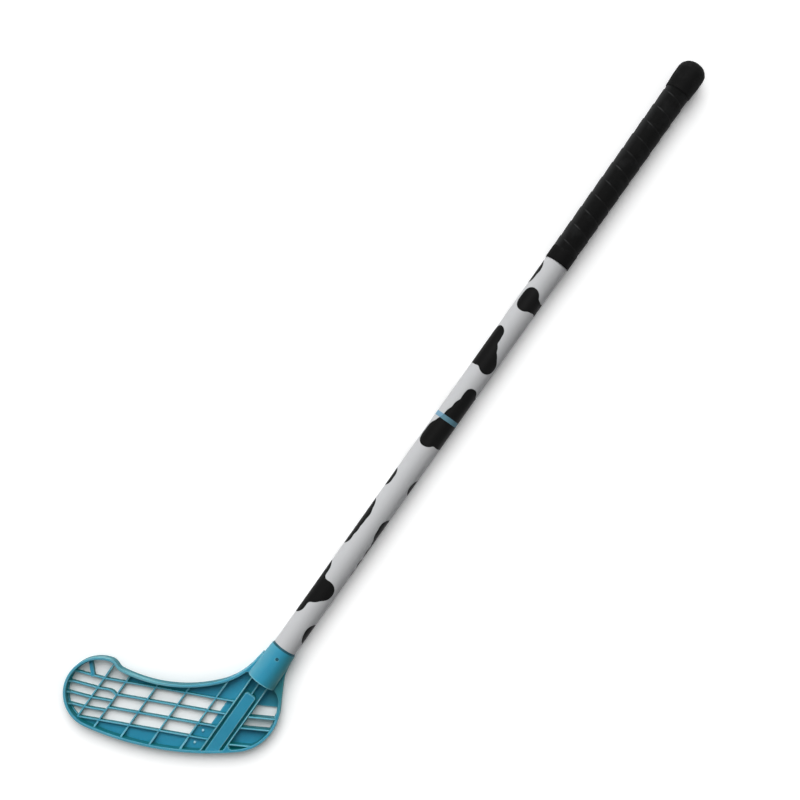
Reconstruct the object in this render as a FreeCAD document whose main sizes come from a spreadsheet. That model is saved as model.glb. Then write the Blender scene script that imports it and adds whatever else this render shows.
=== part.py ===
import FreeCAD, Part
import Sketcher
import math
import os

# Floorball stick lying flat, blade face down: X runs along the shaft to the butt, Y to the blade's tip
# and Z up.
# The stick is laid out from the middle of the neck's mouth and moved to the middle of its box at the end.

Vector = FreeCAD.Vector
doc = FreeCAD.newDocument("floorball_stick")

# Driving sizes, in millimetres and degrees
SIZES = {
    # shaft tube and its printed film
    "tube_length": 781.0,
    "tube_diameter": 25.3,
    "tube_wall": 1.4,
    "film_thickness": 0.3,
    "film_clearance": 0.05,
    # neck socket, glue and screw
    "neck_length": 41.0,
    "neck_mouth_wall": 1.0,
    "neck_collar_wall": 2.3,
    "neck_root_wall": 3.0,
    "socket_depth": 38.0,
    "socket_end_gap": 1.0,
    "glue_gap": 0.35,
    "glue_clearance": 0.03,
    "bead_length": 1.3,
    "bead_height": 0.75,
    "screw_setback": 10.0,
    "screw_head_diameter": 3.6,
    "screw_head_height": 1.1,
    "screw_shank_diameter": 2.4,
    "screw_length": 7.0,
    "screw_tip_length": 1.8,
    "screw_tip_diameter": 0.6,
    "screw_sink": 0.3,
    "screw_clearance": 0.05,
    "recess_width": 0.55,
    "recess_span": 2.2,
    "recess_depth": 0.6,
    # butt cap
    "cap_wall": 2.45,
    "cap_mouth_wall": 1.6,
    "cap_flare_length": 16.0,
    "cap_overlap": 29.0,
    "cap_end_thickness": 7.0,
    "cap_end_gap": 0.2,
    "cap_clearance": 0.05,
    "cap_round": 12.5,
    # grip winding and the tape that closes it
    "grip_length": 219.0,
    "grip_cap_gap": 0.3,
    "wrap_pitch": 18.8,
    "wrap_start_angle": 140.0,
    "wrap_gap": 0.6,
    "wrap_thin_edge": 0.3,
    "wrap_thick_edge": 0.75,
    "wrap_tip_width": 2.0,
    "wrap_clearance": 0.05,
    "finish_tape_width": 15.0,
    "finish_tape_thickness": 0.25,
    "finish_tape_clearance": 0.05,
    # blade outline, in the blade's own directions: along to the tip, drop away from the butt
    "lie_angle": 25.2,
    "blade_length": 229.2,
    "heel_reach": 7.5,
    "tip_radius": 38.2,
    "bump_rise": 1.6,
    "heel_radius": 50.0,
    "heel_drop": 68.0,
    "bottom_radius": 322.0,
    "top_radius": 150.0,
    "top_drop": 57.9,
    "top_corner_angle": 23.56,
    "bump_radius": 14.0,
    "bump_angle": 98.0,
    "saddle_radius": 12.0,
    "throat_radius": 70.0,
    "heel_throat_radius": 34.0,
    "heel_edge_angle": 28.5,
    "shoulder_start": 16.0,
    "shoulder_half_width": 16.0,
    "shoulder_flare": 8.0,
    # blade walls
    "plate_thickness": 2.5,
    "rim_height": 13.0,
    "rim_thickness": 3.0,
    "rim_round": 0.7,
    "face_round": 0.9,
    "pocket_round": 4.0,
    "heel_arch_radius": 24.0,
    # stem between the neck and the bottom edge
    "stem_width": 12.5,
    "stem_height": 12.0,
    "stem_start": 60.0,
    "stem_round": 2.5,
    "stem_wall_offset": 10.0,
    "stem_wall": 1.6,
    "stem_web": 6.0,
    "spine_height": 9.0,
    # lattice
    "rib_height": 6.5,
    "rib_thickness": 1.8,
    "rib_crown": 0.45,
    "long_rib_below_top": 7.7,
    "long_rib_pitch": 14.8,
    "cross_rib_start": 28.3,
    "cross_rib_pitch": 29.2,
    "tip_cross_rib_pitch": 20.8,
    "tip_cross_reach": 8.0,
    "tip_fan_angle": 5.0,
    "gusset_run": 6.0,
    "gusset_drop": 0.6,
    "brace_reach": 18.5,
    "brace_foot_reach": 10.5,
    "brace_thickness": 4.0,
    "arch_radius": 11.0,
    "window_land": 1.2,
    "corner_window_run": 9.0,
    "corner_window_rise": 5.0,
    # heel ribs, right of the stem
    "heel_rib_angle": 30.0,
    "heel_rib_start": 67.3,
    "heel_rib_pitch": 14.3,
    "heel_rib_height": 12.0,
    "heel_low_rib_drop": 117.0,
    # ejector pads on the closed cell beside the stem
    "pad_diameter": 3.6,
    "pad_height": 0.9,
    "pad_inset": 8.5,
    "pad_drop": 7.0,
    # how far a cutting shape runs past the surface that it opens
    "cut_overrun": 1.0,
}

# Whole numbers that shape the lattice
LONG_RIBS = 4
TIP_CELLS = 4
HEEL_SLOTS = 2

sheet = doc.addObject("Spreadsheet::Sheet", "sizes")
for row, (alias, value) in enumerate(SIZES.items(), start=1):
    sheet.set(f"A{row}", alias.replace("_", " "))
    sheet.set(f"B{row}", str(value))
    sheet.setAlias(f"B{row}", alias)
doc.recompute()


def size(alias):
    return float(sheet.get(alias))


def value(expression):
    """Number that an expression on the sheet gives now."""
    return float(sheet.evalExpression(expression))


def bind(item, **expressions):
    """Tie properties of an object to the sheet."""
    for prop, expression in expressions.items():
        item.setExpression(prop, expression)
    return item


def add(kind, name):
    return doc.addObject(kind, name)


def cut(name, base, tool):
    result = add("Part::Cut", name)
    result.Base = base
    result.Tool = tool
    return result


def fuse(name, shapes):
    result = add("Part::MultiFuse", name)
    result.Shapes = shapes
    return result


def held(name, shape):
    """Document object for a shape made with Part's own functions."""
    result = add("Part::Feature", name)
    result.Shape = shape
    return result


# The shaft's axis lies level at the butt cap's radius, so that cap and blade both touch the ground.
FILM_INNER = "sizes.tube_diameter / 2 + sizes.film_clearance"
FILM_OUTER = f"{FILM_INNER} + sizes.film_thickness"
BORE_RADIUS = f"{FILM_OUTER} + sizes.cap_clearance"
CAP_RADIUS = f"{BORE_RADIUS} + sizes.cap_wall"
axis_height = value(CAP_RADIUS)
TUBE_END = "sizes.tube_length + sizes.socket_end_gap - sizes.socket_depth"
CAP_MOUTH = f"{TUBE_END} - sizes.cap_overlap"
film_radius = value(FILM_OUTER)
tube_start = size("socket_end_gap") - size("socket_depth")
grip_end = value(CAP_MOUTH) - size("grip_cap_gap")
grip_start = grip_end - size("grip_length")
ALONG_X = FreeCAD.Rotation(Vector(0, 1, 0), 90)


def on_axis(item, start):
    """Lay an object that was made along Z on the shaft's axis, from start towards the butt."""
    item.Placement = FreeCAD.Placement(Vector(start, 0, axis_height), ALONG_X)
    return item


def rod(name, start, radius, length):
    item = add("Part::Cylinder", name)
    bind(item, Radius=radius, Height=length)
    return on_axis(item, start)


def frustum(name, start, first_radius, last_radius, length):
    item = add("Part::Cone", name)
    bind(item, Radius1=first_radius, Radius2=last_radius, Height=length)
    return on_axis(item, start)


def upright(name, along, radius, length, base):
    """Standing cylinder on the shaft's middle line."""
    item = add("Part::Cylinder", name)
    bind(item, Radius=radius, Height=length)
    item.Placement.Base = Vector(along, 0, base)
    return item


# Neck screw: countersunk head, plain shank and cutting tip, driven from the upper side of the neck
SOCKET_RADIUS = "sizes.tube_diameter / 2 + sizes.glue_gap"
NECK_MOUTH_RADIUS = f"{SOCKET_RADIUS} + sizes.neck_mouth_wall"
NECK_COLLAR_RADIUS = f"{SOCKET_RADIUS} + sizes.neck_collar_wall"
NECK_ROOT_RADIUS = f"{SOCKET_RADIUS} + sizes.neck_root_wall"
screw_at = -size("screw_setback")
collar_share = size("screw_setback") / size("shoulder_start")
neck_radius_at_screw = value(NECK_MOUTH_RADIUS) * (1 - collar_share) + value(NECK_COLLAR_RADIUS) * collar_share
screw_top = axis_height + neck_radius_at_screw - size("screw_sink")
head_base = screw_top - size("screw_head_height")
shank_base = screw_top - size("screw_length")


def screw_cone(name, radius_low, radius_high, height, base):
    item = add("Part::Cone", name)
    bind(item, Radius1=radius_low, Radius2=radius_high, Height=height)
    item.Placement.Base = Vector(screw_at, 0, base)
    return item


head = screw_cone("screw_head", "sizes.screw_shank_diameter / 2", "sizes.screw_head_diameter / 2",
                  "sizes.screw_head_height", head_base)
shank = upright("screw_shank", screw_at, "sizes.screw_shank_diameter / 2",
                "sizes.screw_length - sizes.screw_head_height", shank_base)
screw_point = screw_cone("screw_tip", "sizes.screw_tip_diameter / 2", "sizes.screw_shank_diameter / 2",
                         "sizes.screw_tip_length", shank_base - size("screw_tip_length"))
screw_blank = fuse("screw_blank", [head, shank, screw_point])
recess_slots = []
for name, length, width in (("recess_slot", "sizes.recess_span", "sizes.recess_width"),
                            ("recess_cross", "sizes.recess_width", "sizes.recess_span")):
    slot = add("Part::Box", name)
    bind(slot, Length=length, Width=width, Height="sizes.recess_depth + sizes.cut_overrun")
    bind(slot, **{"Placement.Base.x": f"-sizes.screw_setback - {length} / 2",
                  "Placement.Base.y": f"-{width} / 2"})
    slot.Placement.Base.z = screw_top - size("recess_depth")
    recess_slots.append(slot)
neck_screw = cut("neck_screw", screw_blank, fuse("screw_recess", recess_slots))


def screw_path(name):
    """Hole that the screw needs in what it passes through, countersunk from the neck's surface."""
    narrow = "sizes.screw_shank_diameter / 2 + sizes.screw_clearance"
    wide = "sizes.screw_head_diameter / 2 + sizes.screw_clearance"
    bore = upright(f"{name}_bore", screw_at, narrow, "sizes.screw_length + sizes.screw_tip_length",
                   shank_base - size("screw_tip_length"))
    seat = screw_cone(f"{name}_seat", narrow, wide, "sizes.screw_head_height", head_base)
    mouth = upright(f"{name}_mouth", screw_at, wide, "sizes.screw_sink + sizes.cut_overrun", screw_top)
    return fuse(f"{name}_path", [bore, seat, mouth])


# Shaft tube: plain composite tube, drilled for the screw
TUBE_OUTER = "sizes.tube_diameter / 2"
tube_blank = cut("tube_blank",
                 rod("tube_outside", tube_start, TUBE_OUTER, "sizes.tube_length"),
                 rod("tube_bore", tube_start, f"{TUBE_OUTER} - sizes.tube_wall", "sizes.tube_length"))
shaft_tube = cut("shaft_tube", tube_blank, screw_path("tube_screw"))

# Printed film: wrapped round the tube from the bead of glue to the bottom of the cap
film_start = size("bead_length") + size("film_clearance")
FILM_LENGTH = f"{TUBE_END} - sizes.bead_length - sizes.film_clearance"
print_film = cut("print_film",
                 rod("film_outside", film_start, FILM_OUTER, FILM_LENGTH),
                 rod("film_inside", film_start, FILM_INNER, FILM_LENGTH))

# Glue: sleeve that fills the socket round the tube, and the bead pressed out at the mouth
GLUE_OUTER = f"{SOCKET_RADIUS} - sizes.glue_clearance"
GLUE_INNER = "sizes.tube_diameter / 2 + sizes.glue_clearance"
GLUE_LENGTH = "sizes.socket_depth - sizes.socket_end_gap"
glue_sleeve = rod("glue_sleeve", tube_start, GLUE_OUTER, GLUE_LENGTH)
glue_bead = frustum("glue_bead", 0, f"{GLUE_INNER} + sizes.bead_height", f"{GLUE_INNER} + sizes.glue_gap",
                    "sizes.bead_length")
glue_bore = rod("glue_bore", tube_start, GLUE_INNER, f"{GLUE_LENGTH} + sizes.bead_length")
glue_blank = cut("glue_blank", fuse("glue_outside", [glue_sleeve, glue_bead]), glue_bore)
neck_glue = cut("neck_glue", glue_blank, screw_path("glue_screw"))

# Butt cap: rubber cap that flares to its full width and ends in a rounded face, turned about the axis
butt_cap = add("PartDesign::Body", "butt_cap")
cap_sketch = butt_cap.newObject("Sketcher::SketchObject", "cap_section")
cap_plane = [item for item in butt_cap.Origin.OriginFeatures if item.Role == "XZ_Plane"][0]
cap_sketch.AttachmentSupport = [(cap_plane, "")]
cap_sketch.MapMode = "FlatFace"
BORE_END = f"{TUBE_END} + sizes.cap_end_gap"
CAP_END = f"{BORE_END} + sizes.cap_end_thickness"
ON_AXIS = "0"
cap_corners = [
    (CAP_MOUTH, BORE_RADIUS),
    (BORE_END, BORE_RADIUS),
    (BORE_END, ON_AXIS),
    (CAP_END, ON_AXIS),
    (CAP_END, f"{CAP_RADIUS} - sizes.cap_round"),
    (f"{CAP_END} - sizes.cap_round", CAP_RADIUS),
    (f"{CAP_MOUTH} + sizes.cap_flare_length", CAP_RADIUS),
    (CAP_MOUTH, f"{BORE_RADIUS} + sizes.cap_mouth_wall"),
]
ROUND_CORNER_INDEX = 4
AXIS_INDEX = -1
FIRST_POINT_INDEX = 1
LAST_POINT_INDEX = 2
corner_points = [Vector(value(along), value(away), 0) for along, away in cap_corners]
for index, corner in enumerate(corner_points):
    following = corner_points[(index + 1) % len(corner_points)]
    if index == ROUND_CORNER_INDEX:
        circle = Part.Circle(Vector(following.x, corner.y, 0), Vector(0, 0, 1), size("cap_round"))
        cap_sketch.addGeometry(Part.ArcOfCircle(circle, 0, math.pi / 2))
    else:
        cap_sketch.addGeometry(Part.LineSegment(corner, following))


def constrain(expression, *constraint):
    """Add a dimension to the cap's section and tie it to the sheet."""
    number = cap_sketch.addConstraint(Sketcher.Constraint(*constraint))
    cap_sketch.setExpression(f"Constraints[{number}]", expression)


for index, (along, away) in enumerate(cap_corners):
    following = (index + 1) % len(cap_corners)
    cap_sketch.addConstraint(Sketcher.Constraint("Coincident", index, LAST_POINT_INDEX,
                                                 following, FIRST_POINT_INDEX))
    constrain(along, "DistanceX", AXIS_INDEX, FIRST_POINT_INDEX, index, FIRST_POINT_INDEX,
              corner_points[index].x)
    if away == ON_AXIS:
        cap_sketch.addConstraint(Sketcher.Constraint("PointOnObject", index, FIRST_POINT_INDEX, AXIS_INDEX))
    else:
        constrain(away, "DistanceY", AXIS_INDEX, FIRST_POINT_INDEX, index, FIRST_POINT_INDEX,
                  corner_points[index].y)
constrain("sizes.cap_round", "Radius", ROUND_CORNER_INDEX, size("cap_round"))
cap_turn = butt_cap.newObject("PartDesign::Revolution", "cap_turned")
cap_turn.Profile = cap_sketch
cap_turn.ReferenceAxis = (cap_sketch, ["H_Axis"])
cap_turn.Angle = 360
butt_cap.Placement.Base.z = axis_height

# Grip winding: one flat band, thicker along one edge, wound with a narrow gap from turn to turn and cut off
# square to the shaft at both ends of the grip
SPANS_PER_TURN = 3
POINTS_PER_SPAN = 8
SAME_TURN = 1e-6
wrap_inner = film_radius + size("wrap_clearance")
wrap_width = size("wrap_pitch") - size("wrap_gap")


def band_section(turn):
    """Corners of the band's section after some turns: its lower edge, in and out, then its upper edge."""
    angle = math.radians(size("wrap_start_angle")) - 2 * math.pi * turn
    ray = Vector(0, math.cos(angle), math.sin(angle))
    lower_edge = size("wrap_pitch") * (turn - 1)
    rings = []
    for edge in (lower_edge, lower_edge + wrap_width):
        place = min(max(edge, 0), size("grip_length"))
        share = (place - lower_edge) / wrap_width
        thickness = size("wrap_thin_edge") * (1 - share) + size("wrap_thick_edge") * share
        foot = Vector(grip_start + place, 0, axis_height)
        rings.append((foot + ray * wrap_inner, foot + ray * (wrap_inner + thickness)))
    (lower_in, lower_out), (upper_in, upper_out) = rings
    return [lower_in, lower_out, upper_out, upper_in]


def band_stops():
    """Turns where the band's spans meet: evenly spaced, and where an edge of the band meets a square cut."""
    first = (size("wrap_tip_width") + size("wrap_gap")) / size("wrap_pitch")
    last = 1 + (size("grip_length") - size("wrap_tip_width")) / size("wrap_pitch")
    even = range(math.ceil(first * SPANS_PER_TURN), math.floor(last * SPANS_PER_TURN) + 1)
    wanted = [number / SPANS_PER_TURN for number in even]
    wanted += [first, 1, (size("grip_length") + size("wrap_gap")) / size("wrap_pitch"), last]
    stops = []
    for turn in sorted(wanted):
        if not stops or turn - stops[-1] > SAME_TURN:
            stops.append(turn)
    return stops


def wound_band():
    """Solid between the four corner curves of the band, closed by its section at both tips."""
    stops = band_stops()
    faces = []
    for start, end in zip(stops, stops[1:]):
        sections = [band_section(start + (end - start) * step / POINTS_PER_SPAN)
                    for step in range(POINTS_PER_SPAN + 1)]
        corner_edges = []
        for corner_line in zip(*sections):
            curve = Part.BSplineCurve()
            curve.interpolate(list(corner_line))
            corner_edges.append(curve.toShape())
        for edge, following in zip(corner_edges, corner_edges[1:] + corner_edges[:1]):
            faces.append(Part.makeRuledSurface(edge, following))
    for turn in (stops[0], stops[-1]):
        corners = band_section(turn)
        faces.append(Part.Face(Part.makePolygon(corners + corners[:1])))
    skin = Part.Shell(faces)
    skin.sewShape()
    return Part.Solid(skin)


def winding_gap():
    """Least distance from the band's upper edge to the lower edge of the next turn, measured on points."""
    steps = 48
    turns = [1 + step / steps for step in range(2 * steps)]
    upper = [band_section(turn)[-1] for turn in turns]
    lower = [band_section(turn + 1)[0] for turn in turns]
    return min(first.distanceToPoint(second) for first in upper for second in lower)


grip_wrap = held("grip_wrap", wound_band())

# Finish tape: ring stuck over the lowest part of the winding
TAPE_INNER = f"{FILM_OUTER} + sizes.wrap_clearance + sizes.wrap_thick_edge + sizes.finish_tape_clearance"
grip_finish_tape = cut("grip_finish_tape",
                       rod("tape_outside", grip_start, f"{TAPE_INNER} + sizes.finish_tape_thickness",
                           "sizes.finish_tape_width"),
                       rod("tape_inside", grip_start, TAPE_INNER, "sizes.finish_tape_width"))

# Blade plan: arcs and lines that run into each other, from the blade's own directions
lie = math.radians(size("lie_angle"))
TO_TIP = Vector(-math.sin(lie), math.cos(lie), 0)
TO_TOP = Vector(math.cos(lie), math.sin(lie), 0)


def plan(along, drop):
    return TO_TIP * along - TO_TOP * drop


def circles_meet(first, first_radius, second, second_radius, side):
    """Point where two circles cross, to the left (side 1) or right (side -1) of first to second."""
    line = second - first
    distance = line.Length
    reach = (first_radius ** 2 - second_radius ** 2 + distance ** 2) / (2 * distance)
    height = math.sqrt(first_radius ** 2 - reach ** 2)
    ahead = line / distance
    left = Vector(-ahead.y, ahead.x, 0)
    return first + ahead * reach + left * (side * height)


def lines_meet(point, direction, other, other_direction):
    across = direction.x * other_direction.y - direction.y * other_direction.x
    gap = other - point
    return point + direction * ((gap.x * other_direction.y - gap.y * other_direction.x) / across)


def line_meets_circle(point, direction, center, radius):
    """Point where a line, followed in its direction, leaves a circle."""
    nearest = (center - point).dot(direction)
    foot = point + direction * nearest
    return foot + direction * math.sqrt(radius ** 2 - (foot - center).Length ** 2)


def toward(center, other, radius):
    ray = other - center
    return center + ray * (radius / ray.Length)


def arc(start, end, center, middle_ray):
    radius = (start - center).Length
    return Part.Arc(start, toward(center, center + middle_ray, radius), end).toShape()


def short_arc(start, end, center):
    return arc(start, end, center, (start - center) + (end - center))


def line(start, end):
    return Part.LineSegment(start, end).toShape()


# The concave top edge comes down to the left shoulder's line at a set angle, and the tip hangs below it.
flare = math.tan(math.radians(size("shoulder_flare")))
left_start = Vector(-size("shoulder_start"), size("shoulder_half_width"), 0)
left_run = Vector(-1, flare, 0).normalize()
left_out = Vector(left_run.y, -left_run.x, 0)
top_center_drop = size("top_drop") - size("top_radius")
top_distance = size("top_radius") * math.cos(math.radians(size("top_corner_angle")))
top_along = ((top_distance + (left_start + TO_TOP * top_center_drop).dot(left_out))
             / TO_TIP.dot(left_out))
top = plan(top_along, top_center_drop)
tip_along = size("blade_length") - size("heel_reach") - size("tip_radius")
top_edge_drop = top_center_drop + math.sqrt(size("top_radius") ** 2 - (tip_along - top_along) ** 2)
tip_drop = top_edge_drop + size("tip_radius") - size("bump_rise")
tip = plan(tip_along, tip_drop)


def blade_outline():
    bump_angle = math.radians(size("bump_angle"))
    heel_edge = math.radians(size("heel_edge_angle"))
    heel = plan(size("heel_radius") - size("heel_reach"), size("heel_drop"))
    bottom = circles_meet(heel, size("bottom_radius") - size("heel_radius"),
                          tip, size("bottom_radius") - size("tip_radius"), -1)
    bump_ray = plan(math.cos(bump_angle), -math.sin(bump_angle))
    bump = tip + bump_ray * (size("tip_radius") - size("bump_radius"))
    saddle = circles_meet(bump, size("bump_radius") + size("saddle_radius"),
                          top, size("top_radius") - size("saddle_radius"), -1)
    right_start = Vector(-size("shoulder_start"), -size("shoulder_half_width"), 0)
    right_run = Vector(-1, -flare, 0).normalize()
    right_out = Vector(-right_run.y, right_run.x, 0)
    throat = line_meets_circle(left_start + left_out * size("throat_radius"), left_run, top,
                               size("top_radius") - size("throat_radius"))
    heel_run = Vector(-math.cos(heel_edge), -math.sin(heel_edge), 0)
    heel_out = Vector(math.sin(heel_edge), -math.cos(heel_edge), 0)
    heel_end = heel + heel_out * size("heel_radius")
    heel_throat = lines_meet(heel_end + heel_out * size("heel_throat_radius"), heel_run,
                             right_start + right_out * size("heel_throat_radius"), right_run)
    left_end = throat - left_out * size("throat_radius")
    right_end = heel_throat - right_out * size("heel_throat_radius")
    heel_top = heel_throat - heel_out * size("heel_throat_radius")
    throat_end = toward(top, throat, size("top_radius"))
    saddle_start = toward(top, saddle, size("top_radius"))
    bump_start = toward(bump, saddle, size("bump_radius"))
    tip_start = tip + bump_ray * size("tip_radius")
    tip_end = toward(bottom, tip, size("bottom_radius"))
    heel_start = toward(bottom, heel, size("bottom_radius"))
    # The heel's throat may end above the shoulder's start, and then no straight run joins the two.
    mouth_corners = [right_end, left_start]
    if right_start.x > right_end.x:
        mouth_corners.insert(1, right_start)
    mouth_lines = [line(corner, following) for corner, following in zip(mouth_corners, mouth_corners[1:])]
    return Part.Wire([
        line(left_start, left_end),
        short_arc(left_end, throat_end, throat),
        short_arc(throat_end, saddle_start, top),
        short_arc(saddle_start, bump_start, saddle),
        short_arc(bump_start, tip_start, bump),
        arc(tip_start, tip_end, tip, TO_TIP),
        short_arc(tip_end, heel_start, bottom),
        short_arc(heel_start, heel_end, heel),
        line(heel_end, heel_top),
        short_arc(heel_top, right_end, heel_throat),
    ] + mouth_lines)


def inset(wire, distance):
    """Face inside a closed plan, all its edges moved inwards."""
    return Part.Face(wire).makeOffset2D(-distance).Faces[0]


def rounded(face, radius):
    """The same face with its outward corners rounded."""
    return face.makeOffset2D(-radius).makeOffset2D(radius).Faces[0]


def polygon(points):
    return Part.Face(Part.makePolygon(points + points[:1]))


def strip(low_x, high_x, low_y, high_y):
    places = [(low_x, low_y), (high_x, low_y), (high_x, high_y), (low_x, high_y)]
    return polygon([Vector(x, y, 0) for x, y in places])


outline = blade_outline()
box = outline.BoundBox
far = box.DiagonalLength
inside = inset(outline, size("rim_thickness"))
wall_outer = size("stem_wall_offset") + size("stem_wall") / 2
wall_inner = size("stem_wall_offset") - size("stem_wall") / 2
below_neck = -size("neck_length")
tip_pocket = rounded(inside.common(strip(-far, below_neck, wall_outer, far)).Faces[0], size("pocket_round"))
stem_pocket = inside.common(strip(-far, below_neck, -wall_inner, wall_inner)).Faces[0]
heel_arch = Vector(below_neck - size("heel_arch_radius"), -wall_inner, 0)
heel_disc = Part.Face(Part.Wire(Part.makeCircle(size("heel_arch_radius"), heel_arch)))
heel_room = heel_disc.fuse(strip(-far, heel_arch.x, -far, 0)).removeSplitter()
heel_side = inside.common(strip(-far, below_neck, -far, -wall_outer))
heel_pocket = rounded(heel_side.common(heel_room).removeSplitter().Faces[0], size("pocket_round"))

# Blade tray: the front plate with the rim, shoulders and stem walls standing on it
outline_face = held("blade_outline", Part.Face(outline))
blank = add("Part::Extrusion", "blade_blank")
blank.Base = outline_face
blank.DirMode = "Custom"
blank.Dir = Vector(0, 0, 1)
blank.Solid = True
bind(blank, LengthFwd="sizes.rim_height")
pocket_faces = held("blade_pockets", Part.makeCompound([tip_pocket, stem_pocket, heel_pocket]))
bind(pocket_faces, **{"Placement.Base.z": "sizes.plate_thickness"})
pockets = add("Part::Extrusion", "blade_hollows")
pockets.Base = pocket_faces
pockets.DirMode = "Custom"
pockets.Dir = Vector(0, 0, 1)
pockets.Solid = True
bind(pockets, LengthFwd="sizes.rim_height")
tray = cut("blade_tray", blank, pockets)
doc.recompute()


LEVEL_TOLERANCE = 1e-4


def edges_at(shape, height):
    """Numbers of the edges that lie level at a height."""
    found = []
    for number, edge in enumerate(shape.Edges, start=1):
        heights = (edge.BoundBox.ZMin, edge.BoundBox.ZMax)
        if all(abs(level - height) < LEVEL_TOLERANCE for level in heights):
            found.append(number)
    return found


def rounding(shape, height, radius):
    """What a fillet needs to round the edges at a height."""
    return [(number, radius, radius) for number in edges_at(shape, height)]


# The stem walls are the thinnest that are rounded on both sides, so they limit the rim's round.
THIN_WALL_SHARE = 0.45
rim_round = min(size("rim_round"), THIN_WALL_SHARE * size("stem_wall"))
soft_tray = add("Part::Fillet", "blade_soft_tray")
soft_tray.Base = tray
soft_tray.Edges = (rounding(tray.Shape, size("rim_height"), rim_round)
                   + rounding(tray.Shape, 0, size("face_round")))
doc.recompute()

# Lattice: long ribs run to the tip, cross ribs run with the shaft, and both end inside the rim
rib_room = inset(outline, size("rim_thickness") / 2).extrude(Vector(0, 0, size("rim_height")))


def rib(start, end, height, thickness):
    """Straight rib with a crowned top edge."""
    run = end - start
    side = Vector(-run.y, run.x, 0).normalize() * (thickness / 2)
    crest = Vector(0, 0, height)
    eaves = Vector(0, 0, height - size("rib_crown"))
    section = Part.Wire([
        line(start - side, start + side),
        line(start + side, start + side + eaves),
        Part.Arc(start + side + eaves, start + crest, start - side + eaves).toShape(),
        line(start - side + eaves, start - side),
    ])
    return Part.Face(section).extrude(run)


def rising_rib(start, end, low, high, thickness):
    """Rib whose top climbs from one end to the other."""
    run = end - start
    side = Vector(-run.y, run.x, 0).normalize() * thickness
    corners = [start, end, end + Vector(0, 0, high), start + Vector(0, 0, low)]
    shifted = [corner - side / 2 for corner in corners]
    return polygon(shifted).extrude(side)


def lattice_point(y, drop):
    """Point at a distance y from the shaft's axis on the line of a long rib."""
    along = (y + drop * math.sin(lie)) / math.cos(lie)
    return plan(along, drop)


def inside_rim(point):
    return inside.distToShape(Part.Vertex(point))[0] < LEVEL_TOLERANCE


def reach_to_rim(start, direction):
    """Point where a rib that starts inside meets the rim."""
    ray = line(start, start + direction * far)
    return start + direction * ray.common(inside).Edges[0].Length


thin = size("rib_thickness")
low_height = size("rib_height")
high_height = size("rim_height") - size("gusset_drop")
cross_room = tip.y + size("tip_cross_reach") - size("tip_cross_rib_pitch") - size("cross_rib_start")
cross_ribs = 1 + math.floor(cross_room / size("cross_rib_pitch"))
cross_places = [size("cross_rib_start") + size("cross_rib_pitch") * number for number in range(cross_ribs)]
tip_cross = cross_places[-1] + size("tip_cross_rib_pitch")
first_long_drop = size("top_drop") + size("long_rib_below_top")
long_drops = [first_long_drop + size("long_rib_pitch") * number for number in range(LONG_RIBS)]
tip_pitch = (long_drops[-1] - long_drops[0]) / TIP_CELLS
tip_drops = [long_drops[0] + tip_pitch * number for number in range(TIP_CELLS + 1)]
ribs = []

for drop in long_drops:
    ribs.append(rib(lattice_point(size("stem_wall_offset"), drop), lattice_point(cross_places[-1], drop),
                    low_height, thin))
ARCHED = 1
for number, drop in enumerate(tip_drops):
    if number != ARCHED:
        ribs.append(rib(lattice_point(cross_places[-1], drop), lattice_point(tip_cross, drop),
                        low_height, thin))
fan = math.radians(size("tip_fan_angle"))
ahead = TO_TIP * math.cos(fan) + TO_TOP * math.sin(fan)
fan_starts = [lattice_point(tip_cross, drop) for drop in tip_drops[:-1]]
for start in filter(inside_rim, fan_starts):
    end = reach_to_rim(start, ahead)
    ribs.append(rib(start, end + ahead * size("rim_thickness"), low_height, thin))
    if (end - start).Length > size("gusset_run"):
        ribs.append(rising_rib(end - ahead * size("gusset_run"), end + ahead * size("rim_thickness"),
                               low_height - thin, high_height, thin))

# Arched rib: leaves the tip's cross rib level and bends down to the next long rib's end
arch_start = lattice_point(tip_cross, tip_drops[ARCHED])
arch_bend = lattice_point(cross_places[-1], tip_drops[ARCHED]) + TO_TIP * size("arch_radius")
arch_center = arch_bend - TO_TOP * size("arch_radius")
ribs.append(rib(arch_start, arch_bend, low_height, thin))
arch_ring = Part.makeCylinder(size("arch_radius") + thin / 2, low_height, arch_center)
arch_ring = arch_ring.cut(Part.makeCylinder(size("arch_radius") - thin / 2, low_height, arch_center))
quarter = polygon([arch_center, arch_center + TO_TOP * far, arch_center + TO_TOP * far - TO_TIP * far,
                   arch_center - TO_TIP * far])
arch_side = strip(-far, far, cross_places[-1], far).common(quarter)
ribs.append(arch_ring.common(arch_side.extrude(Vector(0, 0, low_height))))

for y in cross_places + [tip_cross]:
    middle = lattice_point(y, long_drops[1])
    foot = lattice_point(y, long_drops[-1])
    bottom_end = reach_to_rim(middle, Vector(-1, 0, 0))
    top_end = reach_to_rim(middle, Vector(1, 0, 0))
    beyond = Vector(size("rim_thickness"), 0, 0)
    ribs.append(rib(bottom_end - beyond, top_end + beyond, low_height, thin))
    if (foot - bottom_end).Length > size("gusset_run"):
        ribs.append(rising_rib(foot, bottom_end - beyond, low_height - thin, high_height, thin))
    crown = lattice_point(y, long_drops[0])
    ribs.append(rising_rib(crown, top_end + beyond, low_height - thin, high_height, thin))

brace_foot = plan(tip_along + size("brace_foot_reach"), long_drops[0])
brace_head = plan(tip_along + size("brace_reach"), tip_drop - size("tip_radius"))
brace_ahead = (brace_head - brace_foot).normalize()
brace_end = reach_to_rim(brace_foot, brace_ahead)
ribs.append(rib(brace_foot, brace_end + brace_ahead * size("rim_thickness"),
                low_height, size("brace_thickness")))

# Heel ribs: right of the stem, the two upper ones between the slots, the lowest across the closed web
heel_lean = math.radians(size("heel_rib_angle"))
TO_HEEL = Vector(math.sin(heel_lean), -math.cos(heel_lean), 0)


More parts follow.
